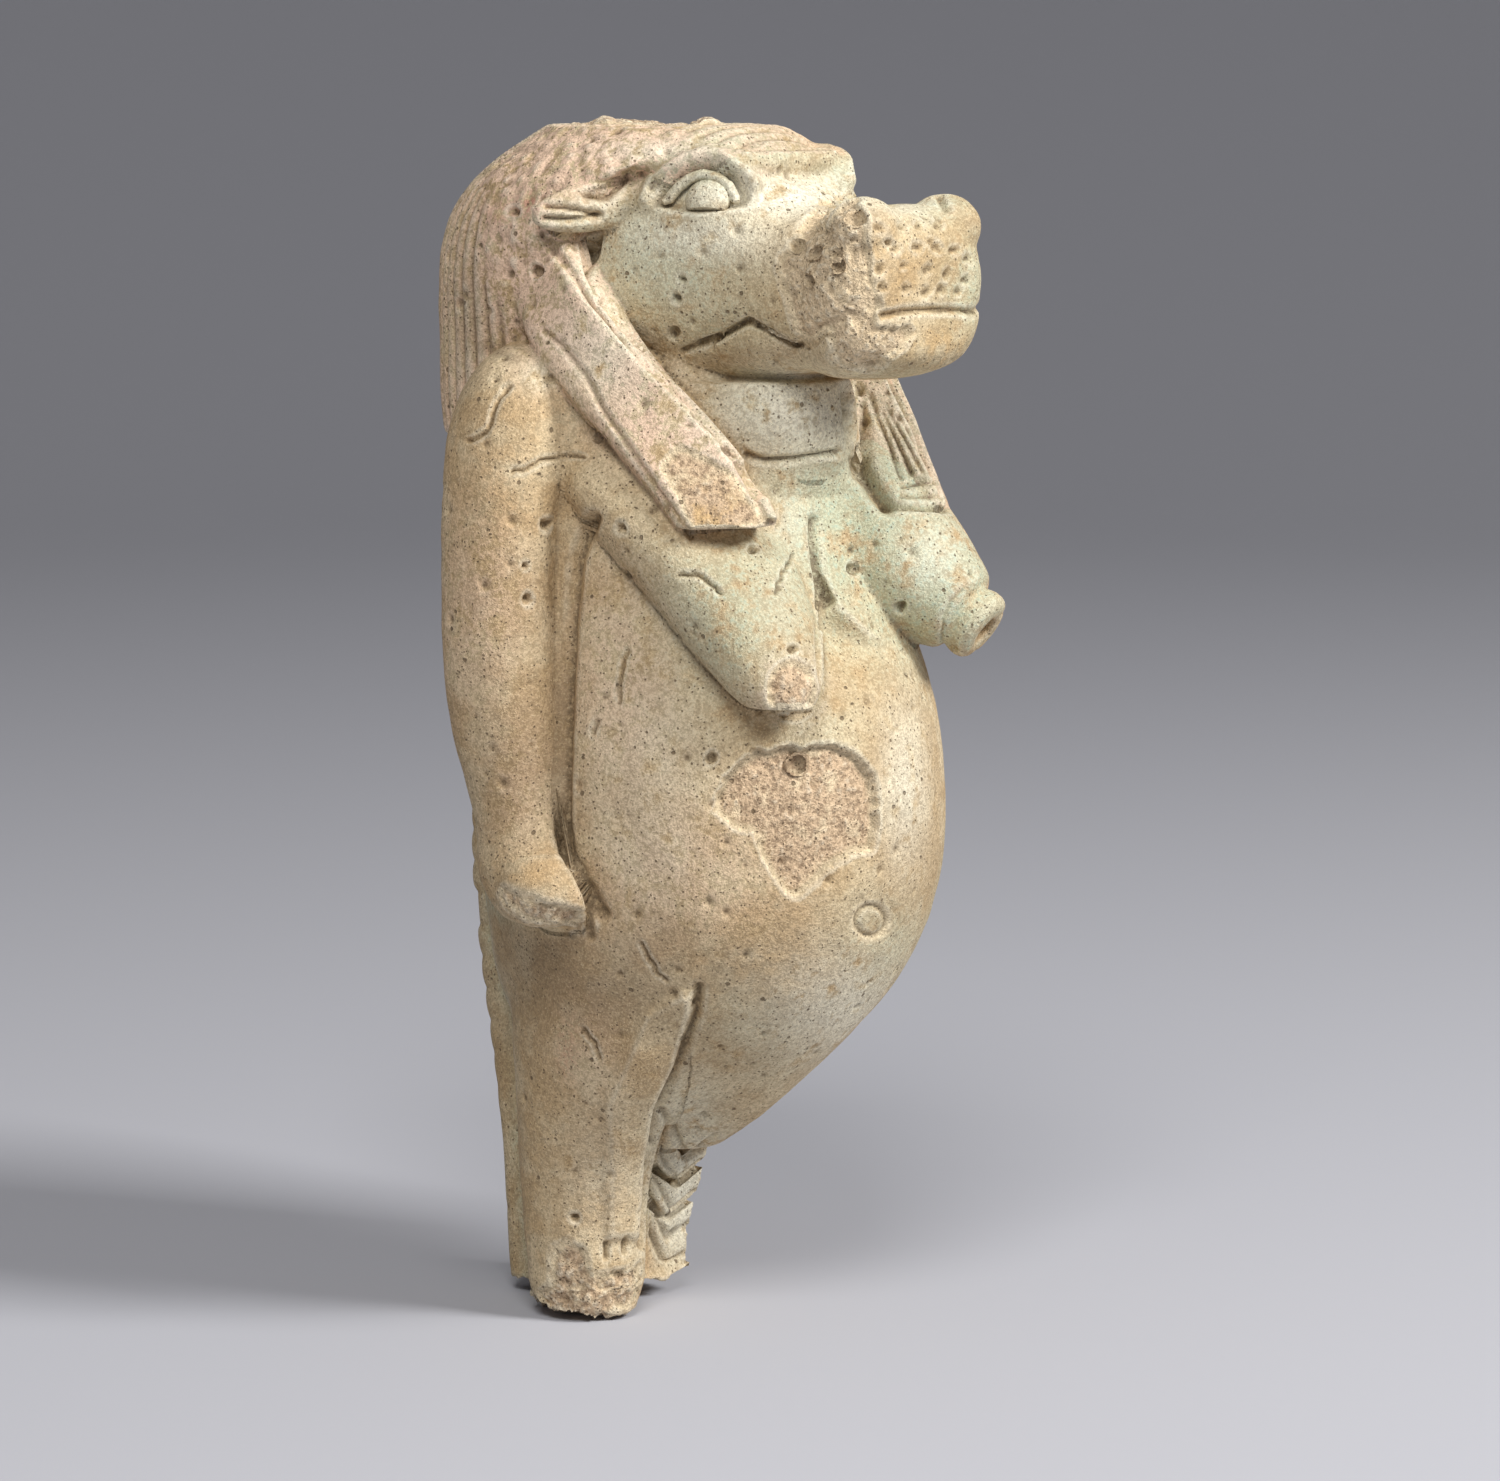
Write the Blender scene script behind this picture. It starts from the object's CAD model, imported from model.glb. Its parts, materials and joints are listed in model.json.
"""Looks of a worn faience figure jar: carved hair and face, chips, pores and faded glaze."""

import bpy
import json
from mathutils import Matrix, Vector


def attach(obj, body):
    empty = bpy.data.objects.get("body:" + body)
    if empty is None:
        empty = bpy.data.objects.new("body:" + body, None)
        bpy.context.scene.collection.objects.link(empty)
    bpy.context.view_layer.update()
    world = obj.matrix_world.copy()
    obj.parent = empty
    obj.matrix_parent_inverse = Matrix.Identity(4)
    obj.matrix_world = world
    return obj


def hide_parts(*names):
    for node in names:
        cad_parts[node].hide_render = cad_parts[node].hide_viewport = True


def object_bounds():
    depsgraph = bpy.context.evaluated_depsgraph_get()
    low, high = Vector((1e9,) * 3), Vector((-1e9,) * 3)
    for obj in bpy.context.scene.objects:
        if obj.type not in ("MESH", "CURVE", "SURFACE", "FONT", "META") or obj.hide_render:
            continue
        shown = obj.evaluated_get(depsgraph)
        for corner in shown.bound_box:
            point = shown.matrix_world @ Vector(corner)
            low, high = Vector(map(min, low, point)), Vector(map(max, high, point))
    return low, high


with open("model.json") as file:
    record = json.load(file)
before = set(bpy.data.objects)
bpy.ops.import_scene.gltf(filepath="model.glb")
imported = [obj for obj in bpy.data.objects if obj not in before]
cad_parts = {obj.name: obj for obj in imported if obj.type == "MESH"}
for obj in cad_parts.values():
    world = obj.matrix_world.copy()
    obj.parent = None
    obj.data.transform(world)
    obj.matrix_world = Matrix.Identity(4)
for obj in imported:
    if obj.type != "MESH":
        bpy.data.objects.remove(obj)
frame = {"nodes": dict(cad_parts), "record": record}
cad_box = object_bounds()

import copy
import json
import math
from itertools import product

import bmesh
import bpy
import numpy as np
from mathutils import Matrix, Vector
from mathutils.bvhtree import BVHTree
from mathutils.kdtree import KDTree

MM = 0.001
NODES = list(frame["nodes"])

# The photograph's view
PHOTO_WIDTH = 1500
PHOTO_HEIGHT = 1481
VIEW_AZIMUTH = math.radians(-47)
VIEW_HEIGHT = math.radians(7)
VIEW_DISTANCE = 0.8
VIEW_TARGET = Vector((0, 0, 0.085))
TARGET_PIXEL = (648, 706)
PIXEL = 0.1421 * MM
SIGHT_CELL = 5
SIGHT_SLACK = 3 * MM
SEEN_FACING = (0.02, 0.2)
FIELD_DEPTH = 9 * MM

# The clay
GRAIN = 0.36 * MM
FINE = 0.36 * MM / GRAIN
JOINT_FLANGE = 0.8 * MM
SHARP_EDGE = math.radians(65)
BOX_SPARE = 0.01 * MM

# Stretches of the two channels in mm: heights of the mouth, and reaches along the spout from its mount
MOUTH_PLUG = (110, 160)
MOUTH_PLUG_SPARE = 1
MOUTH_BORE = (92, 190)
SPOUT_PLUG = (-6, 4)
SPOUT_PLUG_SPARE = 0.6
SPOUT_BORE = (-24, 15)

# The jar's inside in mm: height, half width, reach back and reach forward
HOLLOW_RINGS = [
    (46.5, 16.5, 0.5, 31), (57, 21, 2, 38.5), (70, 22, 2.5, 41), (91, 21.5, 3, 37.5),
    (111, 20.5, 3.5, 28.5), (121.5, 20, 3.5, 25.5),
]

# The eyes and their lids are made apart and set into the sockets
EYES = {"right_eye": 0, "left_eye": 1}
LIDS = {"right_eyelid": 0, "left_eyelid": 1}
SET_IN = {**EYES, **LIDS}
SET_IN_REACH = 4
EYE_PLACE = (13.5, -23, 158.7)
EYE_LOOK = (0.84, -0.34, 0.42)
EYEBALL_SIZE = (3.2, 3.2, 1.8)
LID_RADIUS = 0.75
LID_LIFT = 0.8
LID_END = 0.6

# Pellets in mm that fill the face before it is carved
BROW_FILLET = ((-13, -25.8, 162.4), (13, -25.8, 162.4))
BROW_FILLET_RADIUS = 2.0
NOSTRIL_PLACE = (8.5, -47.2, 153.8)
NOSTRIL_LOOK = (0, -1, 0.001)
NOSTRIL_SWELL = (5.6, 4.6, 4.6)
EYE_MOUND = (7.4, 5.6, 2.6)

# Joints that the maker rubbed smooth: pieces on both sides, reach in mm, rounds, lowest and highest mm
RUBBED_JOINTS = [
    (["right_leg"], ["belly_shell", "back_shell"], 5, 300, 30, 170),
    (["right_arm", "left_arm"], ["belly_shell", "back_shell"], 4, 160, 119, 170),
    (["right_lappet", "left_lappet"], ["wig_cap"], 3, 120, 136, 170),
    (["left_breast"], ["belly_shell"], 4, 200, 107, 170),
    (["crocodile_tail"], ["back_shell"], 3, 60, 20, 130),
]
JOINT_FADE = (-2, 4)

# Features of the figure's right side in pixels of the photograph. The left side has their mirror images
EYE_FIELD = ((698, 188), (74, 48))
EYE_SOCKET = [
    (652, 206), (662, 210), (680, 213), (700, 214), (725, 212), (745, 208), (754, 201), (750, 190),
    (742, 178), (728, 168), (710, 162), (692, 164), (676, 172), (664, 184), (656, 196),
]
BROW_LINE = [(646, 200), (654, 185), (668, 171), (686, 161), (706, 157), (726, 161), (742, 171), (752, 186)]
LID_LINE = [
    (660, 206), (665, 196), (674, 185), (686, 174), (702, 168), (718, 172), (729, 183), (735, 196),
    (738, 206),
]
EYEBALL = (705, 197)
EYEBALL_FOOT = (705, 210)
EAR_GROOVES = [
    [(546, 206), (565, 208), (585, 212), (598, 215)],
    [(545, 219), (565, 220), (585, 219), (600, 216)],
]
TEMPLE_HOLLOW = [
    (572, 192), (593, 186), (612, 181), (633, 177), (624, 190), (612, 204), (601, 205), (585, 200),
]
EAR_HOLLOW = [
    (577, 240), (585, 236), (604, 232), (601, 255), (593, 278), (602, 301), (593, 294), (583, 274),
]
MOUTH_LINE = [
    (683, 351), (700, 345), (717, 339), (735, 328), (748, 321), (762, 328), (778, 337), (790, 343),
    (801, 345),
]
MOUTH_THICK = [(700, 345), (717, 339), (735, 328), (748, 322)]
LAPPET_BORDERS = [
    [(540, 234), (562, 263), (585, 294), (612, 326), (641, 361), (679, 397), (706, 428)],
    [(553, 244), (574, 272), (591, 301), (622, 336), (650, 364), (687, 399), (716, 432)],
]
LAPPET_OUTER = [
    (544, 330), (562, 345), (585, 374), (604, 411), (629, 447), (658, 491), (680, 520), (691, 538),
]
LAPPET_CREASE = [(604, 301), (641, 345), (666, 368), (690, 398), (720, 436), (745, 474), (772, 525)]

# Features that only the photograph's own side shows
MOUTH_FRONT = [(883, 316), (903, 312), (923, 310), (948, 310), (973, 312)]
NECK_LINE = [(727, 447), (745, 455), (765, 461), (799, 459), (838, 452)]
LEFT_BREAST_CREASE = [(815, 520), (815, 540), (817, 560), (822, 580), (832, 600)]
CHEST_HOLLOW = [
    (815, 518), (822, 572), (842, 608), (872, 634), (905, 648), (915, 730), (880, 740), (848, 740),
    (824, 730), (816, 676), (815, 640),
]
CHEST_HOLLOW_FOOT = (625, 710)
CHEST_HOLLOW_SIDE = (845, 900)
NIPPLE_NECK = [(972, 575), (952, 594), (940, 612), (936, 630), (940, 648)]
NIPPLE_RING = [(962, 590), (950, 602), (943, 617), (942, 634), (950, 649)]
LEFT_LAPPET_GAP = [(853, 392), (857, 430), (863, 465), (876, 490), (887, 503)]
LEFT_LAPPET_HEM = [(884, 504), (905, 507), (930, 508), (953, 509)]
LEFT_LAPPET_STRANDS = [
    [(869, 394), (885, 436), (902, 477)], [(883, 412), (896, 441), (911, 473)],
    [(889, 411), (905, 440), (922, 471)], [(898, 413), (915, 442), (932, 474)],
    [(908, 425), (925, 452), (940, 476)],
]
LEFT_LAPPET_BANDS = [[(903, 486), (924, 482), (945, 481)], [(901, 496), (926, 496), (951, 495)]]
WORN_HAIR = [
    ((570, 165), (110, 50)), ((520, 240), (50, 90)), ((560, 330), (60, 60)), ((640, 150), (80, 34)),
]
WIG_GAP = [(488, 346), (498, 352), (508, 358), (516, 360)]
FLATTENED = [((785, 478), (90, 20)), ((871, 921), (32, 32)), ((686, 1088), (24, 54))]
MUZZLE_TOP = [(855, 200), (885, 204), (920, 192), (955, 196)]
MOUTH_GAP = [(801, 345), (840, 331), (883, 316)]
NOSTRIL_SLIT = [(938, 196), (942, 202), (946, 208)]
TAIL_CHEVRONS = [
    [(665, 1112), (687, 1157), (715, 1137)], [(657, 1142), (677, 1182), (702, 1162)],
    [(652, 1166), (672, 1212), (696, 1192)], [(649, 1196), (668, 1240), (694, 1221)],
    [(648, 1228), (667, 1266), (692, 1249)],
]
ARM_CREASE = [
    (592, 520), (578, 560), (571, 620), (566, 690), (564, 760), (563, 830), (570, 862), (590, 890),
    (602, 915),
]
THIGH_CREASE = [(699, 989), (697, 1012), (679, 1066), (659, 1109), (649, 1162), (646, 1212), (644, 1245)]
THIGH_EDGE = THIGH_CREASE + [(600, 1245), (600, 1100), (640, 1010), (680, 985)]
FIST = ((540, 905), (74, 46))
KNUCKLES = ((548, 893), (56, 42))
CRACKS = [
    [(509, 386), (503, 394), (497, 403), (494, 412), (491, 422), (484, 431), (476, 438), (467, 439)],
    [(513, 473), (530, 466), (545, 460), (565, 455), (582, 458)],
    [(627, 651), (622, 669), (620, 684), (618, 702)],
    [(597, 720), (593, 736)],
    [(642, 942), (649, 960), (659, 976), (666, 980)],
    [(583, 1031), (594, 1043), (599, 1059)],
    [(680, 576), (694, 573), (709, 582), (722, 594)],
    [(794, 553), (783, 574), (776, 593)],
]
WHISKERS = [
    (894, 249), (916, 249), (937, 248), (954, 251), (968, 259), (931, 241), (938, 225), (920, 226),
    (880, 269), (904, 267), (927, 270), (947, 274), (964, 280), (926, 292), (941, 290), (957, 292),
    (882, 288), (906, 289), (878, 229), (901, 227),
]
PITS = [
    (753, 549, 4), (854, 569, 5), (900, 608, 5), (547, 524, 5), (524, 567, 3), (527, 600, 4),
    (620, 529, 4), (711, 758, 4), (793, 649, 4), (799, 764, 5), (600, 438, 4), (536, 271, 5),
    (511, 212, 5), (674, 333, 5), (682, 279, 4), (675, 298, 4), (794, 243, 4), (834, 254, 3),
    (837, 266, 3), (805, 280, 3), (811, 250, 3), (573, 1218, 4), (856, 214, 6), (888, 243, 3),
]
TOE_SLOTS = [[(606, 1243), (606, 1258)], [(624, 1238), (625, 1252)]]
FINGER_LINE = [(589, 887), (592, 915), (591, 938)]
NAVEL = (871, 921)
NAVEL_RING = 15
NAVEL_WIDTH = 2.6
NAVEL_CREAM = 18
NAVEL_CREAM_WIDTH = 4
COLLAR_LUMP = 710
COLLAR_LUMP_WIDTH = 18
COLLAR_GAP = (585, 606)
SPOT_RADIUS = 3
MUZZLE_BREAK = [
    (821, 197), (804, 217), (790, 241), (775, 265), (777, 284), (787, 304), (792, 328), (799, 340),
    (814, 340), (826, 333), (829, 352), (828, 357), (838, 367), (857, 373), (874, 375), (883, 370),
    (887, 362), (899, 357), (911, 349), (916, 335), (911, 325), (899, 326), (882, 323), (882, 316),
    (884, 304), (877, 284), (876, 267), (870, 243), (871, 219), (865, 202), (853, 190),
]
BELLY_CHIP = [
    (731, 771), (713, 793), (713, 811), (727, 829), (753, 834), (760, 854), (773, 876), (783, 894),
    (798, 900), (818, 883), (834, 867), (858, 856), (876, 851), (882, 829), (882, 800), (878, 774),
    (862, 758), (840, 745), (818, 743), (800, 749), (782, 745), (760, 751), (745, 758),
]
BROKEN_NIPPLE = ((793, 690), (28, 33))
HAND_BREAK = [
    (487, 883), (498, 905), (527, 927), (560, 934), (582, 938), (593, 909), (560, 902), (513, 883),
]
TOE_BREAK = [
    (549, 1245), (569, 1235), (586, 1245), (596, 1271), (621, 1266), (642, 1262), (644, 1310),
    (600, 1330), (540, 1330), (534, 1300), (546, 1285), (549, 1271),
]
LAPPET_BREAK = [
    (673, 440), (731, 465), (753, 495), (773, 525), (702, 537), (691, 536), (676, 505), (658, 469),
]

# Rubbing: rounds, and widths in pixels
EYE_RUBS = 700
FLAT_RUBS = 900
MOUTH_RUBS = 200
MOUTH_RUB_WIDTH = 14
MUZZLE_RUBS = 100
MUZZLE_RUB_WIDTHS = [(MOUTH_FRONT, 10), (MOUTH_GAP, 12), (MUZZLE_TOP, 12)]
LAPPET_GAP_RUBS = 8
LAPPET_GAP_RUB_WIDTH = 12
FIST_RUBS = 200
NIPPLE_RUBS = 90
NIPPLE_RUB_WIDTH = 14
CHEST_RUBS = 20

# Carved strokes: line, depth in mm and width in pixels
FACE_CUTS = [(MOUTH_LINE, 0.9, 2.6), (MOUTH_THICK, 0.7, 3.2)] + [(groove, 0.9, 3) for groove in EAR_GROOVES]
MUZZLE_CUTS = [(MOUTH_FRONT, 0.9, 3), (NOSTRIL_SLIT, 0.8, 4)]
LAPPET_CUTS = [(LAPPET_OUTER, 0.5, 3), (LAPPET_CREASE, 0.9, 4)]
LAPPET_CUTS += [(line, 0.55, 2.2) for line in LAPPET_BORDERS]
LEFT_LAPPET_CUTS = [(LEFT_LAPPET_GAP, 2.6, 8), (LEFT_LAPPET_HEM, 1.2, 3)]
LEFT_LAPPET_CUTS += [(line, 0.6, 2.4) for line in LEFT_LAPPET_STRANDS + LEFT_LAPPET_BANDS]
BODY_CUTS = [
    (NECK_LINE, 1.2, 3.5), (LEFT_BREAST_CREASE, 1.2, 5), (NIPPLE_RING, 0.4, 2.2), (ARM_CREASE, 1.6, 7),
    (THIGH_CREASE, 1.2, 5), (FINGER_LINE, 0.8, 3),
]
BODY_CUTS += [(chevron, 0.8, 3) for chevron in TAIL_CHEVRONS] + [(slot, 0.9, 2.5) for slot in TOE_SLOTS]
RAGGED_CUTS = [(crack, 0.8, 1.5) for crack in CRACKS]
RAGGED_CUTS += [([(x, y), (x + 1, y)], 0.8, 3.4) for x, y in WHISKERS]
RAGGED_SHIFT = 2.2
RAGGED_SIZE = 1.1

# Carved areas: depth or rise in mm, and edge or width in pixels
SOCKET_DEPTH = 1.6
SOCKET_EDGE = 6
BROW_RISE = 1.6
BROW_WIDTH = 7.5
FACE_HOLLOWS = [(TEMPLE_HOLLOW, 1.8), (EAR_HOLLOW, 2.2)]
HOLLOW_EDGE = 9
KNUCKLE_RISE = 2.4
NIPPLE_RISE = 1.6
NIPPLE_WIDTH = 8
CHEST_DEPTH = 2.4
THIGH_RISE = 0.9
THIGH_EDGE_WIDTH = 12
PIT_DEPTH = 1.1
NAVEL_DEPTH = 0.5

# Strands of the wig and scutes of the tail in mm
STRAND_PITCH = 2.3
STRAND_DEPTH = 0.75
STRAND_TURN = 6
STRAND_ARC = 24
WORN_GRIT = 1.6
SCUTE_PITCH = 4.7
SCUTE_DEPTH = 0.45
SCUTE_BACK = (17, 21)

# Breaks that the photograph shows: outline, depth in mm, edge in pixels and roughness in mm
BREAKS = [
    (MUZZLE_BREAK, 0.7, 6, 0.4), (BELLY_CHIP, 1.2, 4, 0.2), (HAND_BREAK, 0.7, 10, 0.5),
    (TOE_BREAK, 0.7, 8, 0.5), (LAPPET_BREAK, 0.5, 6, 0.2),
]
NIPPLE_BREAK_DEPTH = 0.8

# Grains of a break: size in mm and seed. Fraying of its edge: reach in pixels, size in mm and seed
BREAK_GRAINS = [(2.6, 5), (1.2, 6), (0.6, 7)]
EDGE_FRAY = [(3, 2, 3), (2, 0.9, 4)]

# Fractured faces in mm: where they lie, how thick the layer is that they take in, and how high they reach
HIP_BREAK = (19, -33, 47.7)
HIP_BREAK_FACING = (0.77, -0.27, -0.58)
HIP_BREAK_LAYER = 2
TAIL_BREAK = 5
TAIL_BREAK_LAYER = 1.5
TAIL_BREAK_TOP = 40
SOLE_TOP = 4
SOLE_RAGGED_TOP = 6
SOLE_BITE = 1.6
SOLE_BITE_SWING = 2.2
SOLE_BITE_SIZE = 5
COLLAR_TOP = (164, 166)
COLLAR_LUMP_RISE = 1.7
COLLAR_GAP_DEPTH = 1.4

# Wear in mm. The unevenness has a rise, a size and a seed
UNEVENNESS = [(0.14, 7, 11), (0.07, 2.5, 12)]
PORE_COUNT = 500
PORE_SIZES = (0.35, 0.75)
PORE_DEPTH = 0.8

# Colour fields in pixels of the photograph: middle, half sizes and strength
GREEN_FIELDS = [
    ((930, 580), (90, 80), 1.0), ((740, 600), (100, 100), 0.7), ((650, 260), (90, 90), 0.7),
    ((700, 175), (70, 30), 1.0), ((850, 530), (150, 110), 0.9), ((960, 620), (60, 60), 0.7),
    ((770, 420), (90, 60), 0.6), ((730, 145), (90, 26), 0.8), ((690, 165), (70, 20), 0.9),
    ((840, 180), (30, 22), 0.9), ((570, 224), (40, 14), 0.9), ((905, 450), (60, 80), 0.9),
    ((930, 200), (40, 24), 0.8), ((700, 330), (90, 40), 0.5), ((640, 350), (70, 60), 0.4),
    ((800, 720), (60, 40), 0.35), ((880, 950), (50, 50), 0.4), ((690, 1180), (40, 90), 0.5),
    ((760, 1020), (80, 60), 0.25), ((970, 290), (30, 60), 0.6),
]
PINK_FIELDS = [
    ((570, 165), (110, 40), 1.0), ((520, 240), (50, 90), 0.9), ((560, 330), (60, 60), 0.7),
    ((640, 400), (60, 60), 0.6), ((700, 470), (50, 60), 0.8), ((480, 600), (50, 130), 0.5),
    ((620, 680), (60, 130), 0.5), ((680, 880), (110, 90), 0.4), ((760, 178), (26, 14), 0.7),
    ((790, 690), (34, 34), 0.9), ((590, 1030), (40, 60), 0.35), ((520, 780), (40, 90), 0.4),
]
OCHRE_FIELDS = [
    ((708, 515), (44, 26), 1.0), ((940, 350), (50, 30), 0.8), ((900, 250), (70, 50), 0.5),
    ((500, 480), (50, 60), 0.4), ((610, 1200), (40, 80), 0.4), ((740, 340), (60, 24), 0.3),
    ((760, 960), (90, 60), 0.4), ((520, 880), (50, 30), 0.5), ((560, 400), (60, 40), 0.4),
    ((880, 330), (30, 20), 0.5),
]
WHITE_FIELDS = [
    ((790, 198), (90, 26), 1.0), ((690, 1190), (40, 90), 1.0), ((840, 1010), (80, 60), 0.8),
    ((600, 360), (50, 60), 0.5), ((700, 236), (100, 30), 0.7), ((600, 1180), (40, 80), 0.35),
    ((790, 410), (80, 50), 1.0), ((600, 350), (30, 60), 0.4), ((800, 1030), (70, 50), 0.35),
    ((650, 800), (60, 120), 0.3), ((650, 260), (70, 60), 0.3), ((785, 196), (44, 20), 1.0),
    ((660, 150), (60, 12), 0.5), ((905, 205), (36, 16), 0.6), ((790, 520), (24, 40), 0.3),
    ((780, 600), (24, 60), 0.15), ((905, 790), (26, 90), 0.6), ((540, 375), (26, 20), 0.5),
    ((930, 560), (36, 40), 0.4), ((640, 1200), (18, 60), 0.4), ((800, 690), (20, 26), 0.6),
]
BROWN_FIELDS = [
    ((740, 590), (70, 60), 0.14), ((600, 1000), (80, 60), 0.6), ((650, 955), (60, 30), 0.5),
    ((745, 965), (70, 40), 0.3), ((468, 310), (20, 90), 0.5), ((520, 760), (50, 160), 0.4),
    ((500, 560), (40, 120), 0.2), ((560, 960), (60, 40), 0.5),
]
RED_FIELDS = [
    ((533, 205), (14, 14), 0.9), ((733, 488), (12, 16), 1.0), ((497, 212), (14, 18), 0.3),
    ((567, 1050), (10, 30), 0.35),
]
COLOUR_FIELDS = {
    "green": GREEN_FIELDS, "pink": PINK_FIELDS, "ochre": OCHRE_FIELDS,
    "red": RED_FIELDS, "white": WHITE_FIELDS, "brown": BROWN_FIELDS,
}
TINT_EDGE = 6
TINT_GAP_WIDTH = 8

# Patches of colour on the sides that the photograph doesn't show: seeds, and size in mm
PATCH_SEEDS = {"green": 21, "pink": 22, "ochre": 23}
PATCH_SIZE = 16

# Patterns of the ware in mm
CLOUD_SIZE = 9
DRIFT_SIZE = 3.2
SPECK_SIZE = 0.8
DUST_SIZE = 0.32
FRAY_SIZE = 0.5
FRAY_SHIFT = 0.35
BUMP_DEPTH = 0.38

# Painted pores: spacing and radius in mm, and the share of places that have one
PORE_LAYERS = [(0.6, 0.14, 0.6), (1.0, 0.20, 0.5), (2.4, 0.38, 0.28)]

# Colours of glaze, stains, breaks and dirt
BUFF = (0.55, 0.385, 0.20, 1)
PALE = (0.70, 0.55, 0.335, 1)
BROWN = (0.30, 0.20, 0.105, 1)
WHITE = (0.88, 0.83, 0.66, 1)
GREEN = (0.57, 0.61, 0.425, 1)
TURQUOISE = (0.36, 0.46, 0.36, 1)
PINK = (0.80, 0.565, 0.40, 1)
OCHRE = (0.60, 0.38, 0.16, 1)
RED = (0.40, 0.13, 0.085, 1)
CREAM = (0.84, 0.69, 0.45, 1)
BREAK = (0.66, 0.475, 0.30, 1)
BREAK_DARK = (0.46, 0.32, 0.20, 1)
GRIME = (0.13, 0.085, 0.04, 1)
PORE = (0.14, 0.093, 0.048, 1)

# The stage in metres
FLOOR_HALF = 4
FLOOR_FLAT = 1.2
FLOOR_CURVE = 0.35
FLOOR_PAINT = (0.46, 0.46, 0.49, 1)
FLOOR_ROUGHNESS = 0.9
ROOM_LIGHT = (0.62, 0.62, 0.65, 1)
ROOM_STRENGTH = 0.35

# Lamps: shares of right, up and toward the camera, distance, size and watts
LAMPS = {"key_light": (1.0, 0.8, 0.5, 1.2, 0.35, 15), "front_light": (-0.1, 0.9, 1.0, 1.3, 0.5, 10)}


class Skin:
    """The jar's outer skin while it is being worked: points, quads and their neighbours."""

    def __init__(self, mesh):
        self.points = np.empty(len(mesh.vertices) * 3)
        mesh.vertices.foreach_get("co", self.points)
        self.points = self.points.reshape(-1, 3)
        self.faces = np.empty(len(mesh.loops), np.int64)
        mesh.loops.foreach_get("vertex_index", self.faces)
        self.faces = self.faces.reshape(-1, 4)
        self.edges = np.empty(len(mesh.edges) * 2, np.int64)
        mesh.edges.foreach_get("vertices", self.edges)
        self.edges = self.edges.reshape(-1, 2)

    def spread(self, values):
        """The mean of each point's neighbours."""
        first, second = self.edges.T
        count = np.bincount(self.edges.ravel(), minlength=len(values))
        total = np.bincount(first, values[second], len(values))
        total += np.bincount(second, values[first], len(values))
        return total / np.maximum(count, 1)

    def soften(self, values, rounds):
        for _ in range(max(1, round(rounds * FINE * FINE))):
            values = 0.5 * values + 0.5 * self.spread(values)
        return values

    def rub(self, rounds, share=1.0):
        """Rubs the clay smooth by a share, which may differ from point to point."""
        share = np.broadcast_to(0.5 * share, len(self.points))
        near = share > 0.01
        edges = self.edges[near[self.edges].any(axis=1)]
        used, corners = np.unique(edges, return_inverse=True)
        first, second = corners.reshape(-1, 2).T
        count = np.bincount(first, minlength=len(used)) + np.bincount(second, minlength=len(used))
        weight = np.where(near[used], share[used], 0) / count
        places = self.points[used].T.copy()
        for _ in range(max(1, round(rounds * FINE * FINE))):
            for axis in places:
                total = np.bincount(first, axis[second], len(used))
                total += np.bincount(second, axis[first], len(used))
                axis += weight * total - weight * count * axis
        self.points[used] = places.T

    def normals(self):
        corners = self.points[self.faces]
        across = np.cross(corners[:, 2] - corners[:, 0], corners[:, 3] - corners[:, 1])
        summed = np.empty_like(self.points)
        for axis in range(3):
            weights = np.repeat(across[:, axis], 4)
            summed[:, axis] = np.bincount(self.faces.ravel(), weights, len(self.points))
        return summed / np.maximum(np.linalg.norm(summed, axis=1, keepdims=True), 1e-20)

    def hollowness(self, rounds):
        """How far each point lies in a hollow, in metres, over a wider or a narrower stretch."""
        mean = np.stack([self.soften(axis, rounds) for axis in self.points.T], axis=1)
        return ((mean - self.points) * self.normals()).sum(axis=1)


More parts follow.
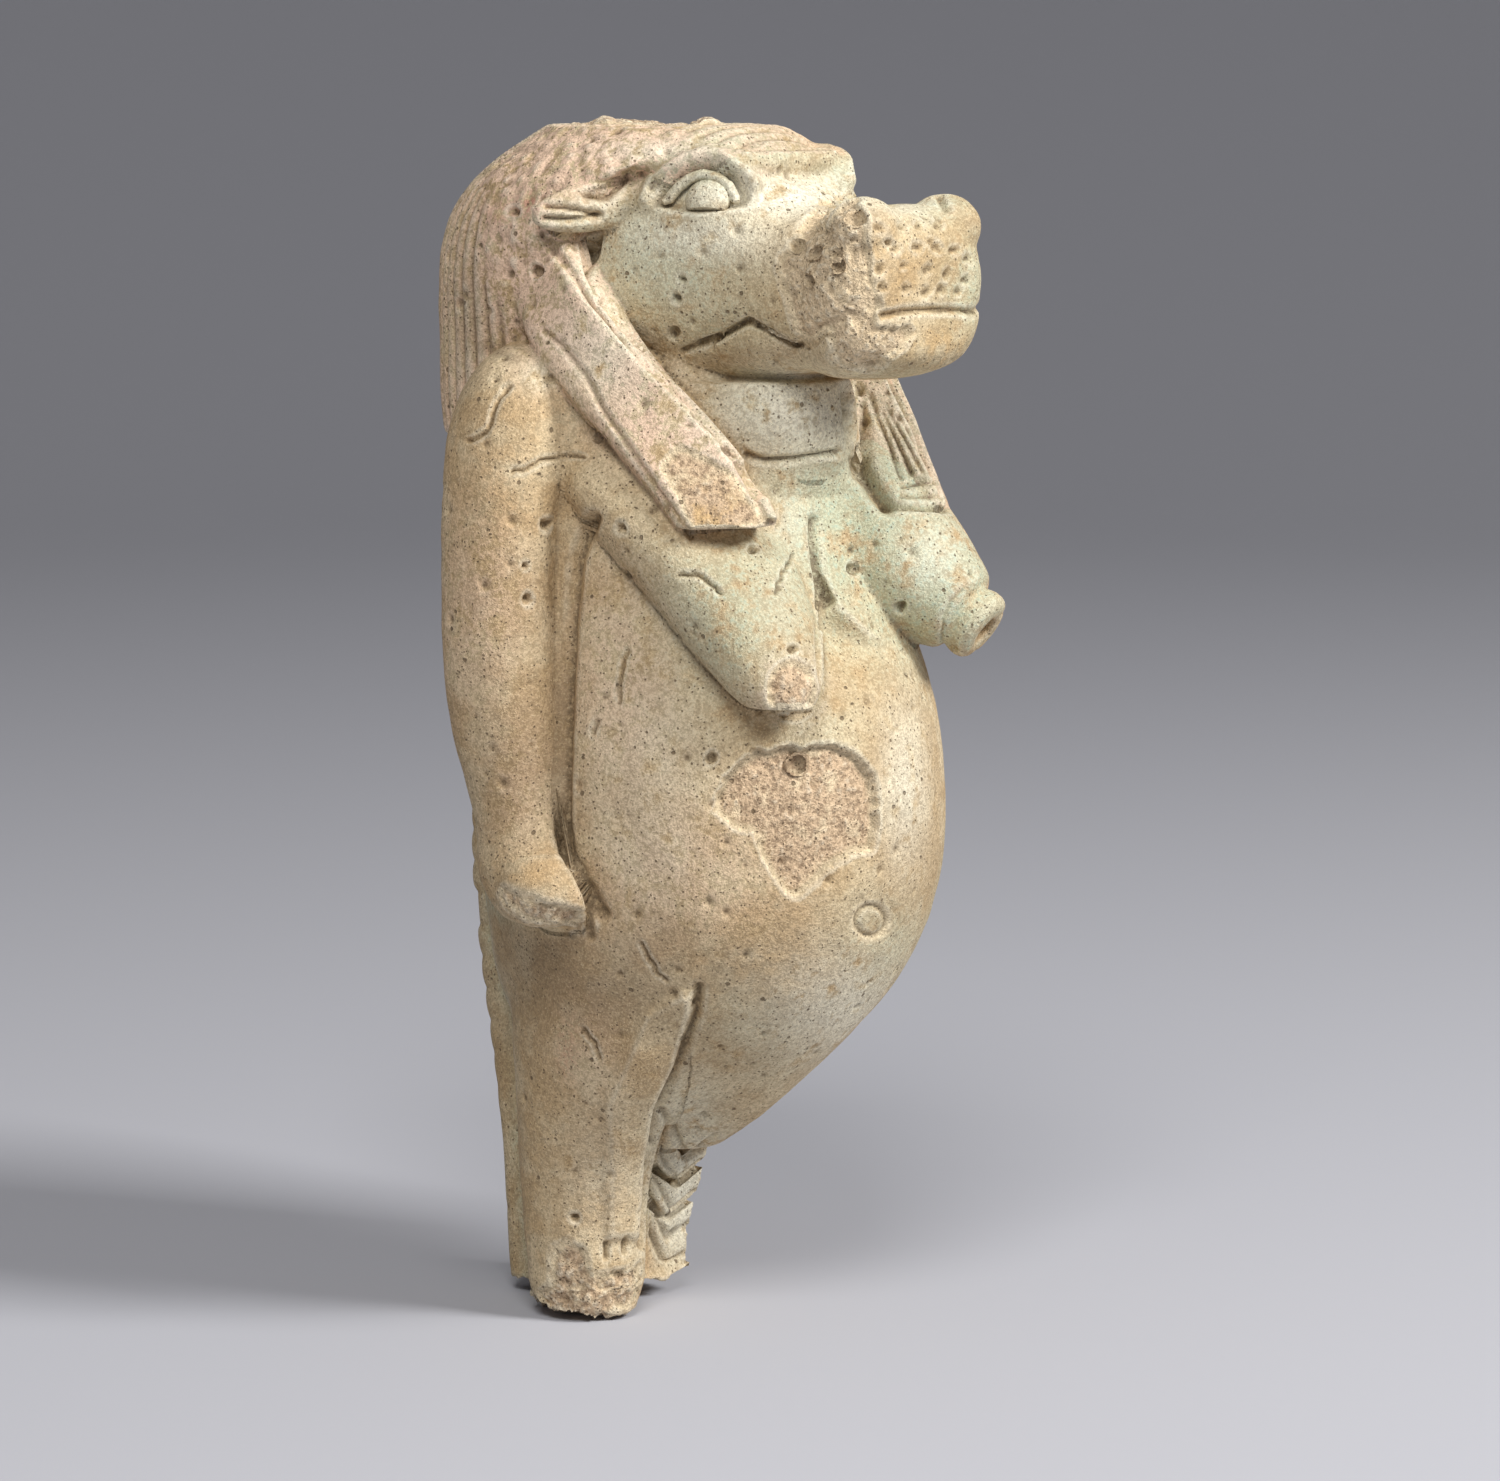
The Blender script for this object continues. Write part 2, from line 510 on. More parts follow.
class Sight:
    """The skin as the photograph shows it, or its mirror image: pixels, and how well each point is seen."""

    def __init__(self, skin, mirrored):
        normals = skin.normals()
        self.across, self.down, depth, facing = photo_pixels(skin.points, normals)
        nearest = np.full((PHOTO_HEIGHT // SIGHT_CELL + 1, PHOTO_WIDTH // SIGHT_CELL + 1), np.inf)
        np.minimum.at(nearest, self.cells(), depth)
        if mirrored:
            turn = np.array((-1, 1, 1))
            self.across, self.down, depth, facing = photo_pixels(skin.points * turn, normals * turn)
        behind = depth - nearest[self.cells()]
        if mirrored:
            behind[skin.points[:, 0] <= 0] = np.inf
        self.near_front = np.abs(behind) < FIELD_DEPTH
        self.seen = (behind < SIGHT_SLACK) * eased(facing, *SEEN_FACING)

    def cells(self):
        """The rows and columns of a coarse grid over the photograph that the points fall in."""
        rows = np.clip(self.down // SIGHT_CELL, 0, PHOTO_HEIGHT // SIGHT_CELL).astype(int)
        columns = np.clip(self.across // SIGHT_CELL, 0, PHOTO_WIDTH // SIGHT_CELL).astype(int)
        return rows, columns

    def near(self, line, reach):
        """The points within reach of a line's box."""
        low = np.min(line, axis=0) - reach
        high = np.max(line, axis=0) + reach
        inside = (self.seen > 0) & (self.across > low[0]) & (self.across < high[0])
        return np.nonzero(inside & (self.down > low[1]) & (self.down < high[1]))[0]

    def stroke(self, line, width):
        """1 on a line, falling off to nothing over its width."""
        chosen = self.near(line, 3 * width)
        apart = line_distance(self.across[chosen], self.down[chosen], line)
        share = np.zeros(len(self.seen))
        share[chosen] = np.exp(-((apart / width) ** 2)) * self.seen[chosen]
        return share

    def inside(self, outline, edge, wobble=0):
        """1 inside an outline, easing to nothing at its edge. A wobble frays the edge."""
        chosen = self.near(outline, 2 * edge + np.max(wobble))
        depth = outline_depth(self.across[chosen], self.down[chosen], outline)
        if np.ndim(wobble):
            depth = depth + wobble[chosen]
        share = np.zeros(len(self.seen))
        share[chosen] = eased(depth, 0, edge) * self.seen[chosen]
        return share

    def shaken(self, sideways, upright):
        """The same sight with its pixels shaken, for ragged edges."""
        shaky = copy.copy(self)
        shaky.across = self.across + sideways
        shaky.down = self.down + upright
        return shaky

    def distance(self, pixel):
        """How many pixels each point lies from one pixel."""
        return np.hypot(self.across - pixel[0], self.down - pixel[1])

    def spread(self, field):
        """How far out in an oval each point lies, squared: 0 at its middle and 1 at its rim."""
        (x, y), (half_width, half_height) = field[:2]
        return ((self.across - x) / half_width) ** 2 + ((self.down - y) / half_height) ** 2

    def field(self, field):
        """An oval that also takes in what is hidden just behind the front, easing to nothing at its rim."""
        return eased(1 - self.spread(field), 0, 0.3) * self.near_front

    def oval(self, field):
        """How deep inside an oval each point lies: 1 at its middle and 0 at its rim."""
        return np.clip(1 - self.spread(field), 0, 1) * (self.seen > 0)


def view_axes():
    toward = Vector((
        math.sin(VIEW_AZIMUTH) * math.cos(VIEW_HEIGHT),
        -math.cos(VIEW_AZIMUTH) * math.cos(VIEW_HEIGHT),
        math.sin(VIEW_HEIGHT),
    ))
    right = Vector((math.cos(VIEW_AZIMUTH), math.sin(VIEW_AZIMUTH), 0))
    return right, toward.cross(right), toward


def photo_pixels(points, normals):
    """Where points stand in the photograph, how far from the eye, and how squarely they face it."""
    right, up, toward = (np.array(axis) for axis in view_axes())
    away = points - np.array(VIEW_TARGET)
    depth = VIEW_DISTANCE - away @ toward
    scale = VIEW_DISTANCE / PIXEL / depth
    back = VIEW_DISTANCE * toward - away
    facing = (normals * back).sum(axis=1) / np.linalg.norm(back, axis=1)
    return TARGET_PIXEL[0] + scale * (away @ right), TARGET_PIXEL[1] - scale * (away @ up), depth, facing


def eased(values, low, high):
    share = np.clip((values - low) / (high - low), 0, 1)
    return share * share * (3 - 2 * share)


def line_distance(across, down, line):
    best = np.full(len(across), np.inf)
    for (x0, y0), (x1, y1) in zip(line, line[1:]):
        run, fall = x1 - x0, y1 - y0
        share = np.clip(((across - x0) * run + (down - y0) * fall) / (run * run + fall * fall), 0, 1)
        best = np.minimum(best, np.hypot(across - x0 - share * run, down - y0 - share * fall))
    return best


def outline_depth(across, down, outline):
    """How far inside a closed outline each point lies, in pixels. It is below 0 outside."""
    closed = outline + outline[:1]
    inside = np.zeros(len(across), bool)
    for (x0, y0), (x1, y1) in zip(closed, closed[1:]):
        if y0 != y1:
            crossing = x0 + (down - y0) * (x1 - x0) / (y1 - y0)
            inside ^= ((y0 > down) != (y1 > down)) & (across < crossing)
    return np.where(inside, 1, -1) * line_distance(across, down, closed)


def grit(points, size, seed):
    """Smooth random values from -1 to 1 that change over about the given size."""
    low = points.min(axis=0) - size
    cells = (points - low) / size
    corner = np.floor(cells).astype(int)
    rest = cells - corner
    rest = rest * rest * (3 - 2 * rest)
    shape = corner.max(axis=0) + 2
    lattice = np.random.default_rng(seed).uniform(-1, 1, shape).astype(np.float32)
    total = np.zeros(len(points))
    for step in np.ndindex(2, 2, 2):
        weight = np.prod(np.where(step, rest, 1 - rest), axis=1)
        total += weight * lattice[tuple((corner + step).T)]
    return total


def new_object(name, data):
    thing = bpy.data.objects.new(name, data)
    bpy.context.scene.collection.objects.link(thing)
    return thing


def mesh_after(thing, kind, **settings):
    """The mesh of a thing once a modifier has worked on it."""
    work = thing.modifiers.new(kind, kind)
    for name, value in settings.items():
        setattr(work, name, value)
    seen = thing.evaluated_get(bpy.context.evaluated_depsgraph_get())
    mesh = bpy.data.meshes.new_from_object(seen)
    thing.modifiers.remove(work)
    return mesh


def object_from(name, clay):
    mesh = bpy.data.meshes.new(name)
    clay.to_mesh(mesh)
    clay.free()
    return new_object(name, mesh)


def mount(name):
    return next(place for place in frame["record"]["mounts"] if place["name"] == name)


def rod(clay, start, end, radius):
    """A round rod between two points, in the clay."""
    along = Vector(end) - Vector(start)
    turn = along.to_track_quat("Z", "Y").to_matrix().to_4x4()
    place = Matrix.Translation((Vector(start) + Vector(end)) / 2) @ turn
    bmesh.ops.create_cone(
        clay, cap_ends=True, segments=64, radius1=radius, radius2=radius, depth=along.length, matrix=place
    )


def pellet(clay, middle, look, sizes):
    """An oval pellet of clay with its last size along the way that it looks."""
    look = Vector(look).normalized()
    along = look.cross((0, 0, -1)).normalized()
    turn = Matrix((along, look.cross(along), look)).transposed().to_4x4()
    scale = Matrix.Diagonal((*(size * MM for size in sizes), 1))
    place = Matrix.Translation(Vector(middle) * MM) @ turn @ scale
    bmesh.ops.create_uvsphere(clay, u_segments=64, v_segments=32, radius=1, matrix=place)


def on_side(place, side):
    """A place or direction on the figure's left for a side of 1, or its mirror image for a side of -1."""
    return (side * place[0], *place[1:])


def mouth_rod(clay, heights, spare):
    """A rod along the filling mouth, wider than it by the spare."""
    radius = mount("filling_mouth")["dims"]["r_mm"] + spare
    rod(clay, *((0, 0, height * MM) for height in heights), radius * MM)


def spout_rod(clay, reaches, spare):
    """A rod along the pouring spout, wider than it by the spare."""
    spout = mount("pouring_spout")
    middle, along = Vector(spout["pos_m"]), Vector(spout["axis"])
    rod(clay, *(middle + reach * MM * along for reach in reaches), (spout["dims"]["r_mm"] + spare) * MM)


def wet_clay():
    """All the pieces pressed together into one skin, with the two channels stopped up for now."""
    clay = bmesh.new()
    for name, node in frame["nodes"].items():
        if name not in SET_IN:
            clay.from_mesh(node.data)
    bmesh.ops.remove_doubles(clay, verts=clay.verts, dist=1e-7)
    mouth_rod(clay, MOUTH_PLUG, MOUTH_PLUG_SPARE)
    spout_rod(clay, SPOUT_PLUG, SPOUT_PLUG_SPARE)
    rod(clay, *(Vector(end) * MM for end in BROW_FILLET), BROW_FILLET_RADIUS * MM)
    for side in (-1, 1):
        pellet(clay, on_side(NOSTRIL_PLACE, side), NOSTRIL_LOOK, NOSTRIL_SWELL)
        pellet(clay, on_side(EYE_PLACE, side), on_side(EYE_LOOK, side), EYE_MOUND)
    lump = object_from("wet_clay", clay)
    mesh = mesh_after(lump, "REMESH", mode="VOXEL", voxel_size=GRAIN, adaptivity=0)
    bpy.data.objects.remove(lump)
    return Skin(mesh)


def nearest_nodes(skin):
    """The number of the CAD node that each point of the skin lies on."""
    points = []
    faces = []
    owner = []
    for number, (name, node) in enumerate(frame["nodes"].items()):
        if name in SET_IN:
            continue
        start = len(points)
        points.extend(v.co for v in node.data.vertices)
        for face in node.data.polygons:
            faces.append([start + corner for corner in face.vertices])
            owner.append(number)
    tree = BVHTree.FromPolygons(points, faces)
    return np.array([owner[tree.find_nearest(point)[2]] for point in skin.points])


def of_piece(owner, name):
    """1 on the points of one piece and 0 elsewhere."""
    return (owner == NODES.index(name)).astype(float)


def layered_grit(points, layers):
    """A sum of random layers: each has its strength, its size in mm and its seed."""
    return sum(strength * grit(points, size * MM, seed) for strength, size, seed in layers)


def tree_of(points):
    """Points in a tree that finds the nearest one's number."""
    tree = KDTree(len(points))
    for number, point in enumerate(points):
        tree.insert(point, number)
    tree.balance()
    return tree


def close_to(skin, points, reach):
    """The numbers of the skin's points in a box round some points."""
    low = points.min(axis=0) - reach
    high = points.max(axis=0) + reach
    return np.nonzero(((skin.points > low) & (skin.points < high)).all(axis=1))[0]


def settled(skin, owner):
    """Each point's node after a vote among its neighbours, so that no piece has a ragged edge."""
    votes = np.zeros((len(skin.points), len(NODES)))
    votes[np.arange(len(owner)), owner] = 1
    for column in range(len(NODES)):
        votes[:, column] = skin.soften(votes[:, column], 6)
    return votes.argmax(axis=1)


def joint_share(skin, owner, first, second, reach):
    """1 along the joint of two pieces, easing to 0 at its reach."""
    sides = np.sort(owner[skin.edges], axis=1)
    pair = sorted((NODES.index(first), NODES.index(second)))
    border = np.unique(skin.edges[(sides == pair).all(axis=1)])
    share = np.zeros(len(skin.points))
    if len(border) == 0:
        return share
    tree = tree_of(skin.points[border])
    for index in close_to(skin, skin.points[border], reach):
        share[index] = max(0, 1 - tree.find(skin.points[index])[2] / reach)
    return eased(share, 0, 0.7)


def rub_joints(skin, owner):
    heights = skin.points[:, 2] / MM
    for firsts, seconds, reach, rounds, low, high in RUBBED_JOINTS:
        for first, second in product(firsts, seconds):
            share = joint_share(skin, owner, first, second, reach * MM)
            share *= eased(heights - low, *JOINT_FADE) * eased(high - heights, *JOINT_FADE)
            skin.rub(rounds, share)


def carve(skin, lift):
    """Moves the skin in or out by a lift in mm."""
    skin.points += lift[:, None] * MM * skin.normals()


def cut(sight, strokes):
    """How deep strokes go, in mm: each has its line, depth and width."""
    return sum(depth * sight.stroke(line, width) for line, depth, width in strokes)


def smooth_face(skin, sights):
    """Rubs the face's pellets flush, so that the carving starts from a smooth head."""
    for sight in sights:
        skin.rub(EYE_RUBS, sight.field(EYE_FIELD))
        skin.rub(MOUTH_RUBS, sight.stroke(MOUTH_LINE, MOUTH_RUB_WIDTH))
    for field in FLATTENED:
        skin.rub(FLAT_RUBS, sights[0].field(field))
    for line, width in MUZZLE_RUB_WIDTHS:
        skin.rub(MUZZLE_RUBS, sights[0].stroke(line, width))


def carve_face(skin, sights):
    """Eyes under their brows, ears, the hollows beside them and the mouth line, on both sides."""
    lift = -cut(sights[0], MUZZLE_CUTS)
    for sight in sights:
        socket = sight.inside(EYE_SOCKET, SOCKET_EDGE)
        lift -= SOCKET_DEPTH * socket + cut(sight, FACE_CUTS)
        lift += BROW_RISE * sight.stroke(BROW_LINE, BROW_WIDTH) * (1 - 0.7 * socket)
        for hollow, depth in FACE_HOLLOWS:
            lift -= depth * sight.inside(hollow, HOLLOW_EDGE)
    carve(skin, lift)
    for sight in sights:
        skin.rub(1, eased(sight.oval(EYE_FIELD), 0, 0.3))


def carve_hair(skin, owner, sights):
    """Strands of the wig and the borders of the lappets."""
    lift = -cut(sights[0], LEFT_LAPPET_CUTS)
    for sight in sights:
        lift -= cut(sight, LAPPET_CUTS)
    carve(skin, lift)
    skin.rub(LAPPET_GAP_RUBS, sights[0].stroke(LEFT_LAPPET_GAP, LAPPET_GAP_RUB_WIDTH))
    x, y, _ = skin.points.T / MM
    forward = STRAND_TURN - y
    behind = STRAND_ARC * np.arctan2(-forward, np.abs(x))
    strand = np.where(forward > 0, forward, -behind)
    groove = np.abs(np.sin(math.pi * strand / STRAND_PITCH)) ** 0.6
    wig = skin.soften(of_piece(owner, "wig_cap"), 4)
    worn = np.maximum(*(sum(sight.oval(field) for field in WORN_HAIR) for sight in sights))
    worn = eased(worn, 0.1, 0.5)
    hair = eased(wig, 0.6, 1) * (1 - eased(sum(sight.oval(EYE_FIELD) for sight in sights), 0, 0.15))
    depth = STRAND_DEPTH * hair * (1 - 0.85 * worn)
    rough = hair * worn * (0.35 * grit(skin.points, WORN_GRIT * MM, 9) - 0.2)
    carve(skin, rough - depth * (1 - groove))


def carve_body(skin, owner, sight):
    """Creases, cracks, navel, hand and toes that the photograph's side shows."""
    skin.rub(FIST_RUBS, sight.field(FIST))
    carve(skin, KNUCKLE_RISE * sight.oval(KNUCKLES) * of_piece(owner, "right_arm"))
    carve(skin, NIPPLE_RISE * sight.stroke(NIPPLE_NECK, NIPPLE_WIDTH))
    skin.rub(NIPPLE_RUBS, eased(sight.stroke(NIPPLE_NECK, NIPPLE_RUB_WIDTH), 0.1, 0.6))
    hollow = sight.inside(CHEST_HOLLOW, HOLLOW_EDGE)
    hollow *= (1 - eased(sight.down, *CHEST_HOLLOW_FOOT)) * (1 - eased(sight.across, *CHEST_HOLLOW_SIDE))
    carve(skin, -CHEST_DEPTH * hollow)
    skin.rub(CHEST_RUBS, hollow)
    lift = THIGH_RISE * sight.inside(THIGH_EDGE, THIGH_EDGE_WIDTH) - cut(sight, BODY_CUTS)
    ragged = sight.shaken(*(RAGGED_SHIFT * grit(skin.points, RAGGED_SIZE * MM, seed) for seed in (15, 16)))
    lift -= cut(ragged, RAGGED_CUTS)
    for x, y, radius in PITS:
        lift -= PIT_DEPTH * eased(ragged.stroke([(x, y), (x + 1, y)], radius), 0.15, 0.7)
    ring = (sight.distance(NAVEL) - NAVEL_RING) / NAVEL_WIDTH
    lift -= NAVEL_DEPTH * np.exp(-(ring ** 2)) * sight.seen
    x, y, z = skin.points.T / MM
    scute = np.abs(np.sin(math.pi * (z - 0.5 * np.abs(x)) / SCUTE_PITCH)) ** 0.5
    lift -= SCUTE_DEPTH * (1 - scute) * eased(y, *SCUTE_BACK) * of_piece(owner, "crocodile_tail")
    carve(skin, lift)


def break_edges(skin, owner, sight):
    """Chips and fractures: their depth and their granular floors. Gives back how broken each point is."""
    fray = layered_grit(skin.points, EDGE_FRAY)
    coarse, medium, fine = (grit(skin.points, size * MM, seed) for size, seed in BREAK_GRAINS)
    broken = eased(sight.oval(BROKEN_NIPPLE), 0, 0.35)
    lift = -broken * (NIPPLE_BREAK_DEPTH + 0.3 * medium)
    for outline, depth, edge, roughness in BREAKS:
        share = sight.inside(outline, edge, fray)
        broken = np.maximum(broken, share)
        lift -= share * (depth + roughness * (0.6 * coarse + 0.6 * medium + 0.5 * fine))
    x, _, z = skin.points.T / MM
    normals = skin.normals()
    facing = np.array(HIP_BREAK_FACING) / np.linalg.norm(HIP_BREAK_FACING)
    hip = np.abs((skin.points / MM - HIP_BREAK) @ facing) < HIP_BREAK_LAYER
    hip = hip * eased(normals @ facing, 0.9, 0.97)
    tail = (np.abs(x - TAIL_BREAK) < TAIL_BREAK_LAYER) & (z < TAIL_BREAK_TOP)
    tail = tail * eased(normals[:, 0], 0.85, 0.95)
    sole = eased(-normals[:, 2], 0.5, 0.9) * (z < SOLE_TOP)
    collar = of_piece(owner, "mouth_collar")
    ring = skin.soften(collar * eased(z, *COLLAR_TOP), 3)
    lump = COLLAR_LUMP_RISE * np.exp(-(((sight.across - COLLAR_LUMP) / COLLAR_LUMP_WIDTH) ** 2))
    lump -= COLLAR_GAP_DEPTH * (1 - eased(sight.across, *COLLAR_GAP))
    skin.points[:, 2] += ring * lump * MM
    bite = SOLE_BITE + SOLE_BITE_SWING * grit(skin.points, SOLE_BITE_SIZE * MM, 8)
    skin.points[:, 2] += eased(-z, -SOLE_RAGGED_TOP, 0) * bite * MM
    collar = collar * eased(normals[:, 2], 0.3, 0.7)
    fractures = [(hip, 0.5, 0.8), (tail, 0.5, 0.8), (sole, 0.3, 1.2), (collar, 0.1, 0.5)]
    for share, depth, roughness in fractures:
        share = skin.soften(share, 3)
        broken = np.maximum(broken, share)
        lift -= share * (depth + roughness * (0.7 * coarse + 0.5 * medium + 0.4 * fine))
    carve(skin, lift)
    return broken


def wear(skin):
    """A hand-made unevenness all over, and scattered pores."""
    lift = layered_grit(skin.points, UNEVENNESS)
    picks = np.random.default_rng(13)
    middles = picks.choice(len(skin.points), PORE_COUNT, replace=False)
    sizes = picks.uniform(*PORE_SIZES, PORE_COUNT)
    tree = tree_of(skin.points)
    for middle, size in zip(middles, sizes):
        for _, index, apart in tree.find_range(skin.points[middle], 2 * size * MM):
            lift[index] -= PORE_DEPTH * size * math.exp(-((apart / (size * MM)) ** 2))
    carve(skin, lift)


def tints(skin, sights, broken):
    """How green, pink, ochre, red, white, brown, broken, creamy, grimy and raised each point is."""
    sight = sights[0]
    seen = sight.seen > 0
    known = skin.soften(seen.astype(float), 40)
    found = {}
    for name, fields in COLOUR_FIELDS.items():
        painted = np.zeros(len(skin.points))
        for field in fields:
            painted = np.maximum(painted, field[2] * np.exp(-sight.spread(field)))
        painted *= seen
        if name in PATCH_SEEDS:
            patchy = eased(grit(skin.points, PATCH_SIZE * MM, PATCH_SEEDS[name]), -0.1, 0.5)
            painted = known * painted + (1 - known) * 0.55 * patchy
        found[name] = skin.soften(painted, 6)
    found["broken"] = broken
    rim = skin.soften(broken, 10)
    cream = np.clip(4 * rim * (1 - rim), 0, 1) * eased(broken, 0.1, 0.6)
    ring = (sight.distance(NAVEL) - NAVEL_CREAM) / NAVEL_CREAM_WIDTH
    cream = np.maximum(cream, 0.8 * np.exp(-(ring ** 2)) * seen)
    found["cream"] = np.maximum(cream, 0.5 * sight.inside(MUZZLE_BREAK, TINT_EDGE))
    wide = skin.hollowness(60) / MM
    narrow = skin.hollowness(6) / MM
    gaps = sum(side.inside(hollow, TINT_EDGE) for side in sights for hollow, _ in FACE_HOLLOWS)
    gaps += 0.8 * sum(side.stroke(WIG_GAP, TINT_EDGE) for side in sights)
    gaps += 0.6 * sight.stroke(LEFT_LAPPET_GAP, TINT_GAP_WIDTH)
    grime = np.clip(0.8 * gaps + eased(narrow, 0.02, 0.16) + 0.8 * eased(wide, 0.15, 0.9), 0, 1)
    found["grime"] = grime * (1 - 0.6 * broken) * (1 - 0.6 * found["white"])
    found["raised"] = eased(-narrow, 0.015, 0.1)
    return found


def tint_mesh(mesh, painted):
    for tint, values in painted.items():
        mesh.attributes.new(tint, "FLOAT", "POINT").data.foreach_set("value", values.astype(np.float32))


def cut_piece(skin, name, chosen, painted):
    """One piece of the skin as a closed solid: its rim is turned in and its joint face closed."""
    used, corners = np.unique(skin.faces[chosen], return_inverse=True)
    mesh = bpy.data.meshes.new("worn_" + name)
    mesh.from_pydata(skin.points[used].tolist(), [], corners.reshape(-1, 4).tolist())
    tint_mesh(mesh, {tint: values[used] for tint, values in painted.items()})
    clay = bmesh.new()
    clay.from_mesh(mesh)
    clay.normal_update()
    rim = [edge for edge in clay.edges if edge.is_boundary]
    made = bmesh.ops.extrude_edge_only(clay, edges=rim)["geom"]
    for vert in (part for part in made if isinstance(part, bmesh.types.BMVert)):
        vert.co -= JOINT_FLANGE * vert.normal
    rim = [edge for edge in clay.edges if edge.is_boundary]
    caps = bmesh.ops.holes_fill(clay, edges=rim, sides=0)["faces"]
    bmesh.ops.poke(clay, faces=caps)
    bmesh.ops.recalc_face_normals(clay, faces=clay.faces)
    clay.to_mesh(mesh)
    clay.free()
    return new_object("worn_" + name, mesh)


def seen_place(skin, sight, pixel):
    """The spot of the skin that a pixel of the photograph shows, and the way that it faces."""
    weight = np.exp(-((sight.distance(pixel) / SPOT_RADIUS) ** 2)) * (sight.seen > 0)
    facing = weight @ skin.normals()
    return Vector(weight @ skin.points / weight.sum()), Vector(facing).normalized()


def eyeball(skin, sight, side):
    """A domed eyeball with a flat foot on the cheek."""
    look = Vector(on_side(EYE_LOOK, side)).normalized()
    middle, _ = seen_place(skin, sight, EYEBALL)
    foot, _ = seen_place(skin, sight, EYEBALL_FOOT)
    clay = bmesh.new()
    pellet(clay, middle / MM, look, EYEBALL_SIZE)
    upright = look.cross(look.cross((0, 0, -1)).normalized())
    whole = clay.verts[:] + clay.edges[:] + clay.faces[:]
    bmesh.ops.bisect_plane(clay, geom=whole, plane_co=foot, plane_no=upright, clear_inner=True)
    bmesh.ops.holes_fill(clay, edges=[edge for edge in clay.edges if edge.is_boundary], sides=0)
    bmesh.ops.recalc_face_normals(clay, faces=clay.faces)
    return clay


def eyelid(skin, sight):
    """A roll of clay laid over the eyeball."""
    path = bpy.data.curves.new("lid_path", "CURVE")
    path.dimensions = "3D"
    path.bevel_depth = LID_RADIUS * MM
    path.bevel_resolution = 8
    path.use_fill_caps = True
    path.resolution_u = 10
    line = path.splines.new("NURBS")
    line.use_endpoint_u = True
    line.order_u = 3
    line.points.add(len(LID_LINE) - 1)
    for number, (point, pixel) in enumerate(zip(line.points, LID_LINE)):
        spot, facing = seen_place(skin, sight, pixel)
        point.co = (*(spot + LID_LIFT * MM * facing), 1)
        point.radius = LID_END if number in (0, len(LID_LINE) - 1) else 1
    roll = new_object("lid_roll", path)
    mesh = bpy.data.meshes.new_from_object(roll.evaluated_get(bpy.context.evaluated_depsgraph_get()))
    bpy.data.objects.remove(roll)
    clay = bmesh.new()
    clay.from_mesh(mesh)
    bmesh.ops.remove_doubles(clay, verts=clay.verts, dist=1e-6)
    bmesh.ops.recalc_face_normals(clay, faces=clay.faces)
    return clay


def set_piece(skin, name, clay, painted):
    """A piece made apart, tinted as the skin around it, with grime where it meets the skin."""
    piece = object_from("worn_" + name, clay)
    places = np.array([vert.co for vert in piece.data.vertices])
    close = close_to(skin, places, SET_IN_REACH * MM)
    tree = tree_of(skin.points[close])
    nearest = close[[tree.find(place)[1] for place in places]]
    height = ((places - skin.points[nearest]) * skin.normals()[nearest]).sum(axis=1) / MM
    worn = {tint: values[nearest] for tint, values in painted.items()}
    worn["grime"] = 0.9 * (1 - eased(height, 0.15, 0.8))
    worn["raised"] = eased(height, 0.9, 1.6)
    tint_mesh(piece.data, worn)
    return piece


def hollow_tool():
    """The jar's inside, bridged from ring to ring."""
    clay = bmesh.new()
    rings = []
    for z, half_width, back, front in HOLLOW_RINGS:
        middle = Matrix.Translation((0, (back - front) / 2 * MM, z * MM))
        size = Matrix.Diagonal((half_width * MM, (back + front) / 2 * MM, 1, 1))
        ends = z in (HOLLOW_RINGS[0][0], HOLLOW_RINGS[-1][0])
        ring = bmesh.ops.create_circle(clay, cap_ends=ends, segments=64, radius=1, matrix=middle @ size)
        rings.append({edge for vert in ring["verts"] for edge in vert.link_edges})
    for below, above in zip(rings, rings[1:]):
        bmesh.ops.bridge_loops(clay, edges=list(below | above))
    bmesh.ops.recalc_face_normals(clay, faces=clay.faces)
    return object_from("hollow_tool", clay)


def bore_tool(name, channel_rod, stretch):
    clay = bmesh.new()
    channel_rod(clay, stretch, 0)
    return object_from(name, clay)


class Tone:
    """A value in a material. Sums written with it become nodes."""

    def __init__(self, glaze, socket):
        self.glaze = glaze
        self.socket = socket

    def __add__(self, other):
        return self.glaze.sum("ADD", self, other)

    def __sub__(self, other):
        return self.glaze.sum("SUBTRACT", self, other)

    def __rsub__(self, other):
        return self.glaze.sum("SUBTRACT", other, self)

    def __mul__(self, other):
        return self.glaze.sum("MULTIPLY", self, other)

    __radd__ = __add__
    __rmul__ = __mul__


